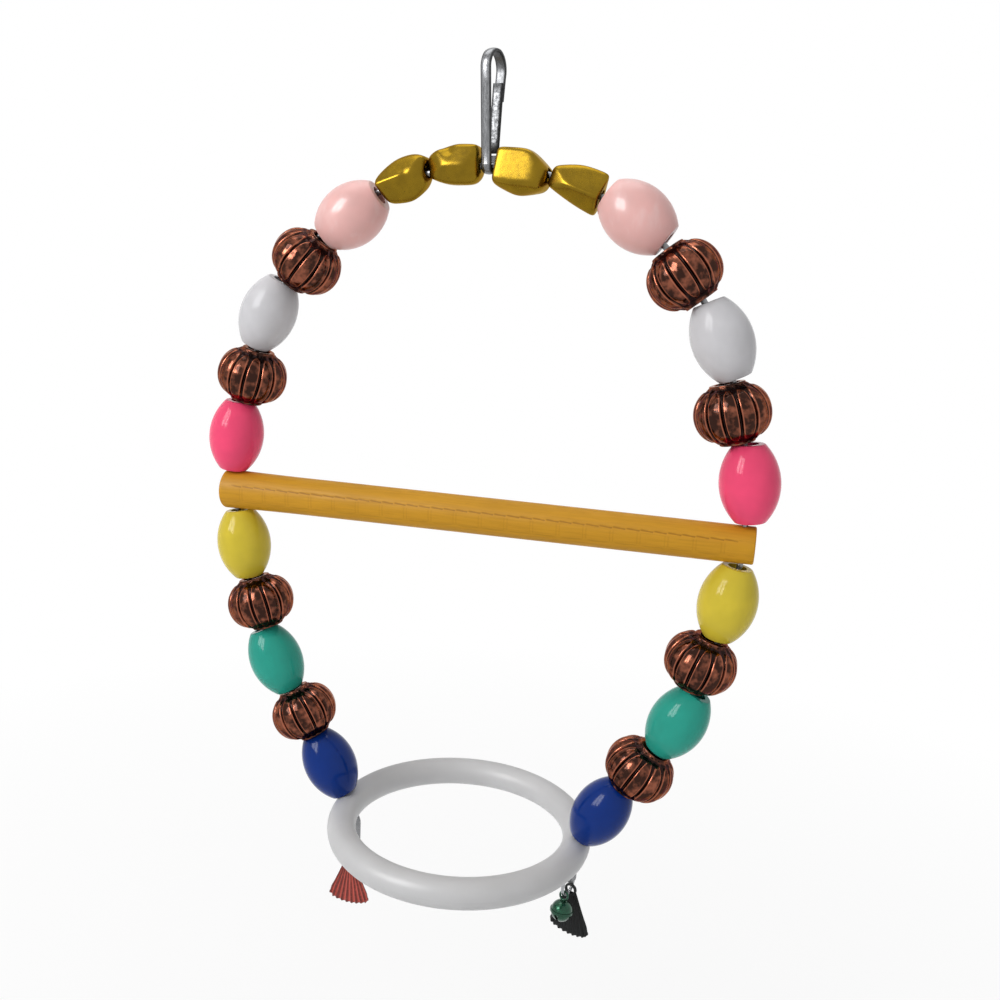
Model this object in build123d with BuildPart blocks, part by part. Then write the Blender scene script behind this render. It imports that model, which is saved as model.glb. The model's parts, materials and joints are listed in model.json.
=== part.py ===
from build123d import *
from math import asin, atan2, cos, degrees, radians, sin, tan
import os

os.makedirs("parts", exist_ok=True)

# Bird swing: a wire hoop threaded with beads, a perch across its middle and a plastic ring across its foot.
# Sizes are millimetres and turns are degrees. The origin is the hang point, inside the top of the clip.
# +X runs along the perch to the right, +Z is up and -Y is the front.

# Spring clip, bent from one flat strip
CLIP_LENGTH = 29.2
STRIP_T = 0.9
STRIP_W = 2.6
BOW_R = 4.0
EYE_R = 1.4
TIP_DROP = 10.2
GATE_LAP = 3.5
GATE_GAP = 0.3
GATE_ROOT_RISE = 3.0
GATE_ROOT_GAP = 0.12
CLIP_YAW = -12.0
CLIP_SPACE = 2.05

# Wire hoop, one half from the top to the ring; the radius of its side arc is found from the ring's size
WIRE_D = 1.6
WIRE_PLAY = 0.25
TOP_ARC_R = 65.0
TOP_ARC_TURN = 64.4
SIDE_ARC_SHARES = (0.5, 4.0)
SIDE_ARC_STEP_SHARE = 0.000001
WIRE_SLANT = 29.4

# Wire hooks under the ring, which carry the charms
HOOK_BEND_R = 4.0
HOOK_LEG = {"right": 2.9, "left": 5.5}
HOOK_R = 1.55
HOOK_TAIL = 1.2
HOOK_TURN = {"right": -20.0, "left": 0.0}

# Beads
BEAD_GAP = 0.15
BARREL_D = 15.0
BARREL_LENGTH = 19.6
BARREL_END_D = 7.6
BARREL_BORE = 4.8
BARREL_LIP = 0.5
PEARL_D = 15.8
PEARL_LENGTH = 18.2
PEARL_END_D = 8.4
PEARL_BORE = 4.8
RIB_D = 19.0
RIB_LENGTH = 14.85
RIB_BORE = 6.0
RIB_COLLAR_D = 8.2
RIB_COLLAR_RISE = 0.9
RIB_DEPTH = 1.1
RIB_COUNT = 14
RIB_LEVEL_SHARES = (-1.0, -0.86, -0.52, 0.0, 0.52, 0.86, 1.0)
NUGGET_LENGTH = 13.3
NUGGET_WIDTH = 11.4
NUGGET_THICKNESS = 9.6
NUGGET_BORE = 3.2
NUGGET_ROUND = 1.3
NUGGET_OUTLINE_SHARES = (
    (-0.50, -0.06), (-0.24, -0.48), (0.28, -0.50), (0.50, 0.04), (0.22, 0.46), (-0.32, 0.44),
)
NUGGET_LEVEL_SHARES = ((-0.5, 0.76, -14.0), (-0.24, 1.0, -4.0), (0.16, 0.93, 8.0), (0.5, 0.44, 22.0))
NUGGET_TURNS = {
    "right_1": (0.0, 20.0), "right_2": (180.0, 150.0), "left_1": (0.0, 250.0), "left_2": (0.0, 95.0),
}

# How far each bead hangs off the wire, as a share of its play on it: above 0 inward, below 0 outward
HANG_SHARES = {
    "right": {
        "pearl_bead": -0.8, "ribbed_bead_1": 0.1, "white_bead": -0.55, "ribbed_bead_2": 0.68,
        "pink_bead": -0.72, "yellow_bead": 0.3, "ribbed_bead_3": 0.77, "green_bead": -0.68,
        "ribbed_bead_4": -0.18, "blue_bead": 0.36,
    },
    "left": {
        "gold_nugget_1": -0.8, "gold_nugget_2": -0.8, "pearl_bead": 0.5, "ribbed_bead_1": 0.66,
        "white_bead": -0.5, "ribbed_bead_2": 0.32, "pink_bead": -0.68, "yellow_bead": 0.24,
        "ribbed_bead_3": 0.77, "green_bead": -0.3, "ribbed_bead_4": 0.22, "blue_bead": 0.18,
    },
}

# Perch, which tapers to the right
PERCH_D = 9.6
PERCH_LEFT_D = 10.3
PERCH_END = 2.9
PERCH_FLARE_D = 11.0
PERCH_FLARE_LENGTH = 26.0
PERCH_EDGE = 0.4

# Ring, to the middle of its tube
RING_R = 33.8
RING_TUBE_D = 8.0
RING_TILT = -2.2

# Charms on each hook: a jump ring that carries a pleated fan and a jingle bell
JUMP_R = 3.05
JUMP_WIRE_D = 0.9
JUMP_ARC = 354.0
CHARM_SPREAD = 38.0
CHARM_PLAY = 0.2
FAN_HOLE_R = 1.2
FAN_RIM = 0.6
FAN_NECK_W = 3.4
FAN_W = 14.2
FAN_DROP = 14.0
FAN_T = 0.7
FAN_PLEATS = 9
FAN_PLEAT_DEPTH = 0.8
FAN_NECK_PLEAT_SHARE = 0.25
BELL_D = 6.1
BELL_WALL = 0.4
BELL_EYE_R = 0.9
BELL_EYE_WIRE_D = 0.6
BELL_EYE_SINK = 0.25
BELL_SLOT_W = 0.8
BELL_SLOT_HOLE_D = 1.3
BELL_SLOT_LIFT = 0.9
BELL_BAND_W = 0.7
BELL_BAND_T = 0.25
BELL_LEAN = 10.0
PELLET_D = 2.0
PELLET_GAP = 0.15

# How far cuts run past the faces that they go through
OVERRUN = 1.0


def keep(piece, name):
    """Name a finished piece and write it."""
    piece.label = name
    export_step(piece, f"parts/{name}.step")


# Line of the clip's strip: a large bow at the top and a small bend at the foot, joined by straight legs
strip_middle = STRIP_T / 2
bow_r = BOW_R + strip_middle
eye_r = EYE_R + strip_middle
bow_z = -BOW_R
eye_z = STRIP_T * 2 - CLIP_LENGTH + EYE_R
leg_slope = degrees(asin((bow_r - eye_r) / (bow_z - eye_z)))
clip_plane = Plane.YZ.rotated((0, 0, CLIP_YAW))


def on_circle(centre_z, radius, slope):
    """Point on the far side of a bend where a leg of this slope leaves it."""
    return Vector(radius * cos(radians(slope)), centre_z - radius * sin(radians(slope)))


bow_far = on_circle(bow_z, bow_r, leg_slope)
eye_near = on_circle(eye_z, eye_r, leg_slope)
tip_share = (-TIP_DROP - bow_far.Y) / (eye_near.Y - bow_far.Y)
tip = bow_far + (eye_near - bow_far) * tip_share
gate_top_z = GATE_LAP - TIP_DROP
gate_step = (STRIP_T + GATE_GAP) / cos(radians(leg_slope))
gate_top_y = tip.X + (gate_top_z - tip.Y) * tan(radians(leg_slope)) - gate_step
gate_rise = gate_top_z - eye_z
gate_slope = degrees(atan2(gate_top_y - eye_r, gate_rise))
eye_far = on_circle(eye_z, eye_r, gate_slope)
gate_line = (Vector(gate_top_y, gate_top_z) - eye_far).normalized()
gate_hinge = eye_far + gate_line * GATE_ROOT_RISE
gate_length = (Vector(gate_top_y, gate_top_z) - gate_hinge).length
strip_root = gate_hinge - gate_line * (strip_middle + GATE_ROOT_GAP)

# Hook: the strip from the gate's root round the bend, up the near leg and over the bow to the tip
with BuildPart() as clip_hook:
    with BuildSketch(clip_plane):
        with BuildLine():
            root = Line(strip_root, eye_far)
            bend = ThreePointArc(root @ 1, (0, eye_z - eye_r), (-eye_near.X, eye_near.Y))
            leg = Line(bend @ 1, (-bow_far.X, bow_far.Y))
            bow = ThreePointArc(leg @ 1, (0, bow_z + bow_r), bow_far)
            Line(bow @ 1, tip)
        trace(line_width=STRIP_T)
    extrude(amount=STRIP_W / 2, both=True)
keep(clip_hook.part, "clip_hook")

# Gate: the springy leaf that closes the hook from inside, rounded at its root
with BuildPart() as clip_gate:
    with BuildSketch(clip_plane):
        with Locations(Location((gate_hinge.X, gate_hinge.Y), degrees(atan2(gate_line.Y, gate_line.X)))):
            Rectangle(gate_length, STRIP_T, align=(Align.MIN, Align.CENTER))
            Circle(strip_middle)
    extrude(amount=STRIP_W / 2, both=True)
keep(clip_gate.part, "clip_gate")

# Run of the wire: a top arc, a side arc through the perch and a straight slant down to the ring
wire_top = Vector(0, 0, eye_z - EYE_R + WIRE_D / 2 + WIRE_PLAY)
top_run = TOP_ARC_R * radians(TOP_ARC_TURN)


def outward(turn):
    return Vector(sin(radians(turn)), 0, cos(radians(turn)))


def along(turn):
    return Vector(cos(radians(turn)), 0, -sin(radians(turn)))


top_centre = wire_top - outward(0) * TOP_ARC_R
last_turn = 90 + WIRE_SLANT


def wire_line(side_arc_r):
    """Turn and place of the right half of the wire at a run from its top, for a radius of its side arc."""
    side_centre = top_centre + outward(TOP_ARC_TURN) * (TOP_ARC_R - side_arc_r)
    foot_run = top_run + side_arc_r * radians(last_turn - TOP_ARC_TURN)
    foot_start = side_centre + outward(last_turn) * side_arc_r

    def turn_at(run):
        if run < top_run:
            return degrees(run / TOP_ARC_R)
        return min(TOP_ARC_TURN + degrees((run - top_run) / side_arc_r), last_turn)

    def point_at(run):
        turn = turn_at(run)
        if run < top_run:
            return top_centre + outward(turn) * TOP_ARC_R
        if run < foot_run:
            return side_centre + outward(turn) * side_arc_r
        return foot_start + along(turn) * (run - foot_run)

    return turn_at, point_at


# Order of what is threaded on each half, with its half length, the radius of its end face and its play
NUGGET = (NUGGET_LENGTH / 2, NUGGET_WIDTH / 4, (NUGGET_BORE - WIRE_D) / 2)
PEARL = (PEARL_LENGTH / 2, PEARL_END_D / 2, (PEARL_BORE - WIRE_D) / 2)
RIBBED = (RIB_LENGTH / 2, RIB_COLLAR_D / 2, (RIB_BORE - WIRE_D) / 2)
BARREL = (BARREL_LENGTH / 2, BARREL_END_D / 2, (BARREL_BORE - WIRE_D) / 2)
PERCH = ((PERCH_LEFT_D + PERCH_FLARE_D) / 4, BARREL_END_D / 2, WIRE_PLAY)
RING = (RING_TUBE_D / 2, BARREL_END_D / 2, WIRE_PLAY)
THREADED = (
    ("gold_nugget_1", NUGGET), ("gold_nugget_2", NUGGET), ("pearl_bead", PEARL), ("ribbed_bead_1", RIBBED),
    ("white_bead", BARREL), ("ribbed_bead_2", RIBBED), ("pink_bead", BARREL), ("perch", PERCH),
    ("yellow_bead", BARREL), ("ribbed_bead_3", RIBBED), ("green_bead", BARREL), ("ribbed_bead_4", RIBBED),
    ("blue_bead", BARREL), ("ring", RING),
)
PIECES = dict(THREADED)


def shared_reach(name, before):
    """How far inward from the wire two neighbouring end faces both reach, on the side where it is more."""
    reaches = []
    for hang in HANG_SHARES.values():
        pair = []
        for piece in (name, before):
            half, end, play = PIECES[piece]
            pair.append(end + play * hang.get(piece, 0))
        reaches.append(min(pair))
    return max(reaches)


def threaded(turn_at):
    """Run from the wire's top to the middle of each threaded piece, each set against the one before."""
    first = THREADED[0][0]
    run = CLIP_SPACE + PIECES[first][0]
    middles = {first: run}
    for (before, (half_before, *_)), (name, (half, *_)) in zip(THREADED, THREADED[1:]):
        step = half_before + BEAD_GAP + half
        wedge = shared_reach(name, before) * radians(turn_at(run + step) - turn_at(run))
        run += step + wedge
        middles[name] = run
    return middles


# Radius of the side arc at which the wire meets the ring, found by halving
least, most = [TOP_ARC_R * share for share in SIDE_ARC_SHARES]
while most - least > TOP_ARC_R * SIDE_ARC_STEP_SHARE:
    side_arc_r = (least + most) / 2
    wire_turn, wire_at = wire_line(side_arc_r)
    runs = threaded(wire_turn)
    if wire_at(runs["ring"]).X < RING_R:
        least = side_arc_r
    else:
        most = side_arc_r
side_run = side_arc_r * radians(last_turn - TOP_ARC_TURN)

perch_at = wire_at(runs["perch"])
ring_at = wire_at(runs["ring"])
SIDES = {"right": 1, "left": -1}


def to_side(point, side):
    """Carry a point or a direction of the right half to this side."""
    return Vector(point.X * SIDES[side], point.Y, point.Z)


def bead_plane(name, side):
    """Plane of a bead along the chord of the wire inside it, moved sideways by its share of play."""
    half, end, play = PIECES[name]
    enters = wire_at(runs[name] - half)
    leaves = wire_at(runs[name] + half)
    axis = (leaves - enters).normalized()
    inward = Vector(axis.Z, 0, -axis.X)
    middle = (enters + leaves) / 2 + inward * play * HANG_SHARES[side].get(name, 0)
    return Plane(to_side(middle, side), x_dir=to_side(-inward, side), z_dir=to_side(axis, side))


def thread(master, plane, name, flip=0.0, turn=0.0):
    """Thread a copy of a bead on the wire, flipped end for end and turned on it as given."""
    with BuildPart() as bead:
        with Locations(plane.location * Rotation(0, 0, turn) * Rotation(flip, 0, 0)):
            add(master.part)
    keep(bead.part, name)


def barrel(diameter, length, end_d, bore):
    """Barrel bead: a bulged wall with flat ends and a wide bore."""
    with BuildPart() as bead:
        with BuildSketch(Plane.XZ) as section:
            with BuildLine():
                wall = ThreePointArc((end_d / 2, -length / 2), (diameter / 2, 0), (end_d / 2, length / 2))
                Polyline(wall @ 1, (bore / 2, length / 2), (bore / 2, -length / 2), wall @ 0)
            make_face()
            fillet(section.vertices().group_by(Axis.X)[-1], BARREL_LIP)
        revolve(axis=Axis.Z)
    return bead


barrel_bead = barrel(BARREL_D, BARREL_LENGTH, BARREL_END_D, BARREL_BORE)
pearl_bead = barrel(PEARL_D, PEARL_LENGTH, PEARL_END_D, PEARL_BORE)

# Ribbed lantern bead: rounded lobes that run from collar to collar and narrow towards both ends
lobe_rise = RIB_LENGTH / 2 - RIB_COLLAR_RISE
lobe_turn = 360 / RIB_COUNT


def lobe_radius(level_share):
    """Crest radius of the lobes at a share of the way from the middle to an end."""
    bulge = (RIB_D - RIB_COLLAR_D) / 2
    return RIB_COLLAR_D / 2 + bulge * (1 - level_share**2) ** 0.5


def polar(radius, turn):
    return Vector(radius * cos(radians(turn)), radius * sin(radians(turn)))


with BuildPart() as ribbed_bead:
    for level_share in RIB_LEVEL_SHARES:
        crest = lobe_radius(level_share)
        groove = crest - RIB_DEPTH * crest / (RIB_D / 2)
        with BuildSketch(Plane.XY.offset(lobe_rise * level_share)):
            with BuildLine():
                for lobe in range(RIB_COUNT):
                    start = lobe_turn * lobe
                    ThreePointArc(
                        polar(groove, start),
                        polar(crest, start + lobe_turn / 2),
                        polar(groove, start + lobe_turn),
                    )
            make_face()
    loft(ruled=True)
    Cylinder(RIB_COLLAR_D / 2, RIB_LENGTH)
    Cylinder(RIB_BORE / 2, RIB_LENGTH + OVERRUN, mode=Mode.SUBTRACT)

# Gold nugget: an uneven pebble with rounded facets, blunt at one end, bored along its length
with BuildPart() as gold_nugget:
    for level_share, size_share, twist in NUGGET_LEVEL_SHARES:
        with BuildSketch(Plane.XY.offset(NUGGET_LENGTH * level_share)) as level:
            with Locations(Rotation(0, 0, twist)):
                Polygon(
                    *[
                        (NUGGET_WIDTH * size_share * x_share, NUGGET_THICKNESS * size_share * y_share)
                        for x_share, y_share in NUGGET_OUTLINE_SHARES
                    ],
                    align=None,
                )
            fillet(level.vertices(), NUGGET_ROUND * size_share)
    loft()
    Cylinder(NUGGET_BORE / 2, NUGGET_LENGTH + OVERRUN, mode=Mode.SUBTRACT)

# Beads on both halves
RIBBED_NAMES = ("ribbed_bead_1", "ribbed_bead_2", "ribbed_bead_3", "ribbed_bead_4")
BARREL_NAMES = ("white_bead", "pink_bead", "yellow_bead", "green_bead", "blue_bead")
for side in SIDES:
    for number in (1, 2):
        plane = bead_plane(f"gold_nugget_{number}", side)
        thread(gold_nugget, plane, f"{side}_gold_nugget_{number}", *NUGGET_TURNS[f"{side}_{number}"])
    thread(pearl_bead, bead_plane("pearl_bead", side), f"{side}_pearl_bead")
    for name in RIBBED_NAMES:
        thread(ribbed_bead, bead_plane(name, side), f"{side}_{name}")
    for name in BARREL_NAMES:
        thread(barrel_bead, bead_plane(name, side), f"{side}_{name}")

# Perch: a round bar, thicker towards its left end, with a hole near each end that follows the wire
perch_half = perch_at.X + PERCH_END
perch_turn = wire_turn(runs["perch"])
wire_hole_r = WIRE_D / 2 + WIRE_PLAY
with BuildPart() as perch:
    with BuildSketch(Plane((0, 0, perch_at.Z), x_dir=(1, 0, 0), z_dir=(0, -1, 0))):
        with BuildLine():
            flare_end = -perch_half + PERCH_FLARE_LENGTH
            taper = Line((perch_half, PERCH_D / 2), (flare_end, PERCH_LEFT_D / 2))
            flare = TangentArc(taper @ 1, (-perch_half, PERCH_FLARE_D / 2), tangent=taper % 1)
            Polyline(flare @ 1, (-perch_half, 0), (perch_half, 0), taper @ 0)
        make_face()
    revolve(axis=Axis((0, 0, perch_at.Z), (1, 0, 0)))
    chamfer(perch.faces().filter_by(Axis.X).edges(), PERCH_EDGE)
    for side in SIDES:
        with Locations(Plane(to_side(perch_at, side), z_dir=to_side(along(perch_turn), side))):
            Cylinder(wire_hole_r, PERCH_FLARE_D + OVERRUN, mode=Mode.SUBTRACT)
keep(perch.part, "perch")

# Ring: a round plastic hoop, its front a little raised, with the wire through it at both sides, off its seam
with BuildPart() as ring:
    with Locations(Location((0, 0, ring_at.Z), (RING_TILT, 0, 0)) * Rotation(0, 0, 90)):
        Torus(ring_at.X, RING_TUBE_D / 2)
    with Locations(*[Plane(to_side(ring_at, side), z_dir=to_side(along(last_turn), side)) for side in SIDES]):
        Cylinder(wire_hole_r, RING_TUBE_D + OVERRUN, mode=Mode.SUBTRACT)
keep(ring.part, "ring")

# Wire hooks: below the ring the wire bends upright, then turns up and outward round a small hook
bend_start = ring_at + along(last_turn) * (RING_TUBE_D / 2 + WIRE_PLAY)
bend_middle_turn = last_turn - WIRE_SLANT / 2
bend_centre = bend_start + outward(last_turn) * HOOK_BEND_R
bend_middle = bend_centre - outward(bend_middle_turn) * HOOK_BEND_R
leg_top = bend_centre - outward(90) * HOOK_BEND_R


def hook_out(side):
    """Level direction in which the hook on this side turns up."""
    turn = radians(HOOK_TURN[side])
    return Vector(cos(turn), sin(turn), 0) * SIDES[side]


def hook_points(side):
    """Points of a hook: its leg's foot, the bottom of the turn, its far side and the wire's end."""
    foot = to_side(leg_top, side) - outward(0) * HOOK_LEG[side]
    out = hook_out(side) * HOOK_R
    bottom = foot + out - outward(0) * HOOK_R
    far = foot + out * 2
    return foot, bottom, far, far + outward(0) * HOOK_TAIL


# Wire hoop: one wire from hook to hook
with BuildPart() as wire_hoop:
    with BuildLine() as hoop_line:
        for side in SIDES:
            top_end = to_side(wire_at(top_run), side)
            side_middle = to_side(wire_at(top_run + side_run / 2), side)
            side_end = to_side(wire_at(top_run + side_run), side)
            ThreePointArc(top_end, side_middle, side_end)
            Line(side_end, to_side(bend_start, side))
            ThreePointArc(to_side(bend_start, side), to_side(bend_middle, side), to_side(leg_top, side))
            foot, bottom, far, end = hook_points(side)
            Line(to_side(leg_top, side), foot)
            ThreePointArc(foot, bottom, far)
            Line(far, end)
        ThreePointArc(to_side(wire_at(top_run), "left"), wire_top, wire_at(top_run))
    wire_end = hook_points("right")[3]
    with BuildSketch(Plane(wire_end, z_dir=outward(0))):
        Circle(WIRE_D / 2)
    sweep(path=hoop_line.wires()[0])
keep(wire_hoop.part, "wire_hoop")

# Pleated fan, hung by the hole in its tab; the hole is the origin and the pleats spread downwards
fan_neck_z = -FAN_HOLE_R


def pleat_points(width, depth):
    """Closed zigzag outline of the pleated sheet at one level."""
    folds = FAN_PLEATS * 2
    across = [width * fold / folds - width / 2 for fold in range(folds + 1)]
    front = [(x, (depth if fold % 2 else 0) - (depth + FAN_T) / 2) for fold, x in enumerate(across)]
    return front + [(x, y + FAN_T) for x, y in reversed(front)]


with BuildPart() as fan:
    with BuildSketch(Plane.XY.offset(fan_neck_z)):
        Polygon(*pleat_points(FAN_NECK_W, FAN_PLEAT_DEPTH * FAN_NECK_PLEAT_SHARE), align=None)
    with BuildSketch(Plane.XY.offset(-FAN_DROP)):
        Polygon(*pleat_points(FAN_W, FAN_PLEAT_DEPTH), align=None)
    loft(ruled=True)
    with BuildSketch(Plane.XZ):
        Circle(FAN_DROP)
    extrude(amount=FAN_W, both=True, mode=Mode.INTERSECT)
    with BuildSketch(Plane.XZ):
        Circle(FAN_HOLE_R + FAN_RIM)
        with Locations((0, fan_neck_z)):
            Rectangle(FAN_NECK_W, FAN_RIM * 2)
        Circle(FAN_HOLE_R, mode=Mode.SUBTRACT)
    extrude(amount=FAN_T / 2, both=True)

# Jingle bell, hung by the eye on its crown; the eye's centre is the origin
bell_r = BELL_D / 2
eye_middle_r = BELL_EYE_R + BELL_EYE_WIRE_D / 2
bell_z = -(eye_middle_r + bell_r + BELL_EYE_WIRE_D / 2 - BELL_EYE_SINK)
with BuildPart() as bell:
    with Locations((0, 0, bell_z)):
        Sphere(bell_r)
        Cylinder(bell_r + BELL_BAND_T, BELL_BAND_W)
        Sphere(bell_r - BELL_WALL, mode=Mode.SUBTRACT)
    with Locations((0, 0, bell_z - BELL_SLOT_LIFT)):
        slot_drop = (Align.CENTER, Align.CENTER, Align.MAX)
        Box(BELL_D, BELL_SLOT_W, BELL_D, align=slot_drop, mode=Mode.SUBTRACT)
        Box(BELL_SLOT_W, BELL_D, BELL_D, align=slot_drop, mode=Mode.SUBTRACT)
        for across in (Axis.X, Axis.Y):
            with Locations(Plane((0, 0, 0), z_dir=across.direction)):
                Cylinder(BELL_SLOT_HOLE_D / 2, BELL_D + OVERRUN, mode=Mode.SUBTRACT)
    with Locations(Plane.XZ):
        Torus(eye_middle_r, BELL_EYE_WIRE_D / 2)

# Pellet that rattles inside the bell, at rest on its floor
with BuildPart() as pellet:
    with Locations((0, 0, bell_z - bell_r + BELL_WALL + PELLET_GAP + PELLET_D / 2)):
        Sphere(PELLET_D / 2)

# Jump ring: nearly a full turn of wire
with BuildPart() as jump_ring:
    with BuildSketch(Plane.XZ):
        with Locations((JUMP_R, 0)):
            Circle(JUMP_WIRE_D / 2)
    revolve(axis=Axis.Z, revolution_arc=JUMP_ARC)

# Charms on both hooks: the fan hangs on one flank of the jump ring and the bell on the other
jump_rise = WIRE_D / 2 + CHARM_PLAY + JUMP_WIRE_D / 2 - JUMP_R
tilted_reach = JUMP_WIRE_D / 2 / cos(radians(CHARM_SPREAD)) + FAN_T / 2 * tan(radians(CHARM_SPREAD))
fan_sink = FAN_HOLE_R - tilted_reach - CHARM_PLAY
bell_sink = BELL_EYE_R - JUMP_WIRE_D / 2 / cos(radians(CHARM_SPREAD - BELL_LEAN)) - CHARM_PLAY
for side in SIDES:
    out = hook_out(side)
    back = Vector(0, 0, 1).cross(out)
    up = outward(0)
    jump_centre = hook_points(side)[1] + up * jump_rise
    lowest = jump_centre - up * (JUMP_R * cos(radians(CHARM_SPREAD)))
    flank = back * (JUMP_R * sin(radians(CHARM_SPREAD)))
    fan_plane = Plane(lowest + flank - up * fan_sink, x_dir=out, z_dir=up)
    bell_up = up * cos(radians(BELL_LEAN)) + back * sin(radians(BELL_LEAN))
    bell_plane = Plane(lowest - flank - bell_up * bell_sink, x_dir=out, z_dir=bell_up)
    thread(jump_ring, Plane(jump_centre, x_dir=back, z_dir=out), f"{side}_jump_ring")
    thread(fan, fan_plane, f"{side}_fan")
    thread(bell, bell_plane, f"{side}_bell")
    thread(pellet, bell_plane, f"{side}_bell_pellet")
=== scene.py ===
import json
from math import asin, atan2, cos, exp, floor, hypot, pi, radians, sin, sqrt, tan

import bmesh
import bpy
from bpy.props import FloatProperty, FloatVectorProperty, IntProperty, PointerProperty
from mathutils import Matrix, Vector


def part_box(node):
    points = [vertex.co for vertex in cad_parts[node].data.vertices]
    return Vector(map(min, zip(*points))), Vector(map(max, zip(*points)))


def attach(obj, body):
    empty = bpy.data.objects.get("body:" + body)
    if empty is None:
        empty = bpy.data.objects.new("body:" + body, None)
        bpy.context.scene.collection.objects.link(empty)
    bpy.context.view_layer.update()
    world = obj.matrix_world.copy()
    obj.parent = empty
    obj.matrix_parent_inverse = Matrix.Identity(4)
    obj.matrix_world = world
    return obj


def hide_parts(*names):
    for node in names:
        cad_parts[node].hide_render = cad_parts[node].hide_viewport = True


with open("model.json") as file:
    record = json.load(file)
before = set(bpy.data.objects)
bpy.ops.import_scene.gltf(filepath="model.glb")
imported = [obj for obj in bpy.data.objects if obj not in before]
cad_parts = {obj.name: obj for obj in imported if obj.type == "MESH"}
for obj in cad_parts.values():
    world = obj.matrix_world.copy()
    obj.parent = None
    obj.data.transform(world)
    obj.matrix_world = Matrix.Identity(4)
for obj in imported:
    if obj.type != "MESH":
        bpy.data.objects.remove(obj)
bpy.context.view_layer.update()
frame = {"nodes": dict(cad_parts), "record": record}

bl_info = {
    "name": "Bird swing",
    "version": (1, 0, 0),
    "blender": (4, 5, 0),
    "location": "View3D > Sidebar > Bird Swing",
    "description": "Dresses the packed bird swing: clip, beads, perch, ring, charms and stage",
    "category": "Object",
}

MM = 0.001
SIDES = ("right", "left")
JOINTS = {joint["name"]: joint for joint in frame["record"]["behaviour"]["joints"]}
BODY_OF = {node: body for body, nodes in frame["record"]["behaviour"]["bodies"].items() for node in nodes}
UP = Vector((0.0, 0.0, 1.0))
HOOP_MIDDLE = Vector((0.0, 0.0, -0.115))


def srgb(red, green, blue):
    """Linear colour of a shade given as it looks on a screen, from 0 to 255."""
    shades = [channel / 255 for channel in (red, green, blue)]
    return tuple(s / 12.92 if s <= 0.04045 else ((s + 0.055) / 1.055) ** 2.4 for s in shades)


def length(name, description, millimetres):
    return FloatProperty(
        name=name, description=description, default=millimetres * MM, unit="LENGTH", precision=5
    )


def colour(name, description, *shade):
    return FloatVectorProperty(
        name=name, description=description, default=srgb(*shade), subtype="COLOR", min=0.0, max=1.0
    )


class SwingSizes(bpy.types.PropertyGroup):
    """Sizes of the dressed pieces."""

    clip_length: length("Clip length", "Outside height of the spring clip", 29.2)
    strip_width: length("Strip width", "Width of the clip's strip", 2.6)
    strip_thickness: length("Strip thickness", "Thickness of the clip's strip", 0.9)
    bow_radius: length("Bow radius", "Inside radius of the bow at the clip's top", 4.0)
    eye_radius: length("Eye radius", "Inside radius of the bend at the clip's foot", 1.4)
    tip_drop: length("Tip drop", "How far the hook's tip comes down from the hang point", 10.2)
    gate_lap: length("Gate lap", "How far the gate reaches up past the tip", 3.5)
    gate_gap: length("Gate gap", "Gap between the gate and the tip", 0.3)
    gate_root_rise: length("Gate root rise", "Height of the gate's root over the bend", 3.0)
    gate_root_gap: length("Gate root gap", "Gap between the gate's root and the strip", 0.12)
    lobe_depth: length("Lobe depth", "Depth of the grooves between the lobes", 1.0)
    lobes: IntProperty(name="Lobes", description="Lobes round a ribbed bead", default=14, min=6)
    stitch_pitch: length("Stitch pitch", "Length of one pressed panel along the perch", 6.9)
    stitch_depth: length("Stitch depth", "Depth of the pressed lines on the perch", 0.16)
    perch_width: length("Perch diameter", "Diameter of the perch at its right end", 9.6)
    left_width: length("Left diameter", "Diameter of the perch where its flare starts", 10.3)
    flare_width: length("Flare diameter", "Diameter of the perch at its thick end", 11.0)
    flare_length: length("Flare length", "Length over which the perch gets thicker", 26.0)
    fan_thickness: length("Fan thickness", "Thickness of the pleated sheet", 0.55)
    pleats: IntProperty(name="Pleats", description="Pleats across a fan", default=9, min=3)


class SwingColours(bpy.types.PropertyGroup):
    """Colours of the finishes."""

    steel: colour("Steel", "Plated spring strip of the clip", 122, 123, 125)
    wire: colour("Wire", "Bare wire of the hoop", 140, 141, 143)
    bright: colour("Bright plating", "Jump rings, pellets and the silver bell", 172, 174, 176)
    gold: colour("Gold", "Plating of the nuggets", 130, 103, 18)
    bronze: colour("Bronze", "Plating of the ribbed beads", 88, 49, 35)
    # Painted shade for the grooves of the ribbed beads.
    bronze_groove_shade: colour("Dark bronze", "Grooves of the ribbed beads", 26, 9, 7)
    pearl: colour("Pearl pink", "Pearl barrels", 236, 184, 179)
    white: colour("White", "White barrels", 206, 205, 208)
    pink: colour("Hot pink", "Pink barrels", 247, 79, 121)
    yellow: colour("Yellow", "Yellow barrels", 214, 192, 60)
    green: colour("Green", "Green barrels", 44, 160, 142)
    blue: colour("Blue", "Blue barrels", 8, 48, 126)
    ring: colour("Ring", "Plastic of the ring", 204, 204, 205)
    perch: colour("Perch", "Stain of the perch", 206, 150, 40)
    perch_dark: colour("Perch shade", "Pressed lines and grain of the perch", 140, 90, 16)
    fan_red: colour("Red enamel", "Left fan", 186, 90, 80)
    fan_charcoal: colour("Charcoal enamel", "Right fan", 27, 29, 29)
    bell_green: colour("Green lacquer", "Right bell", 6, 70, 46)
    floor: colour("Floor", "Floor under the swing", 246, 246, 246)


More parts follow.
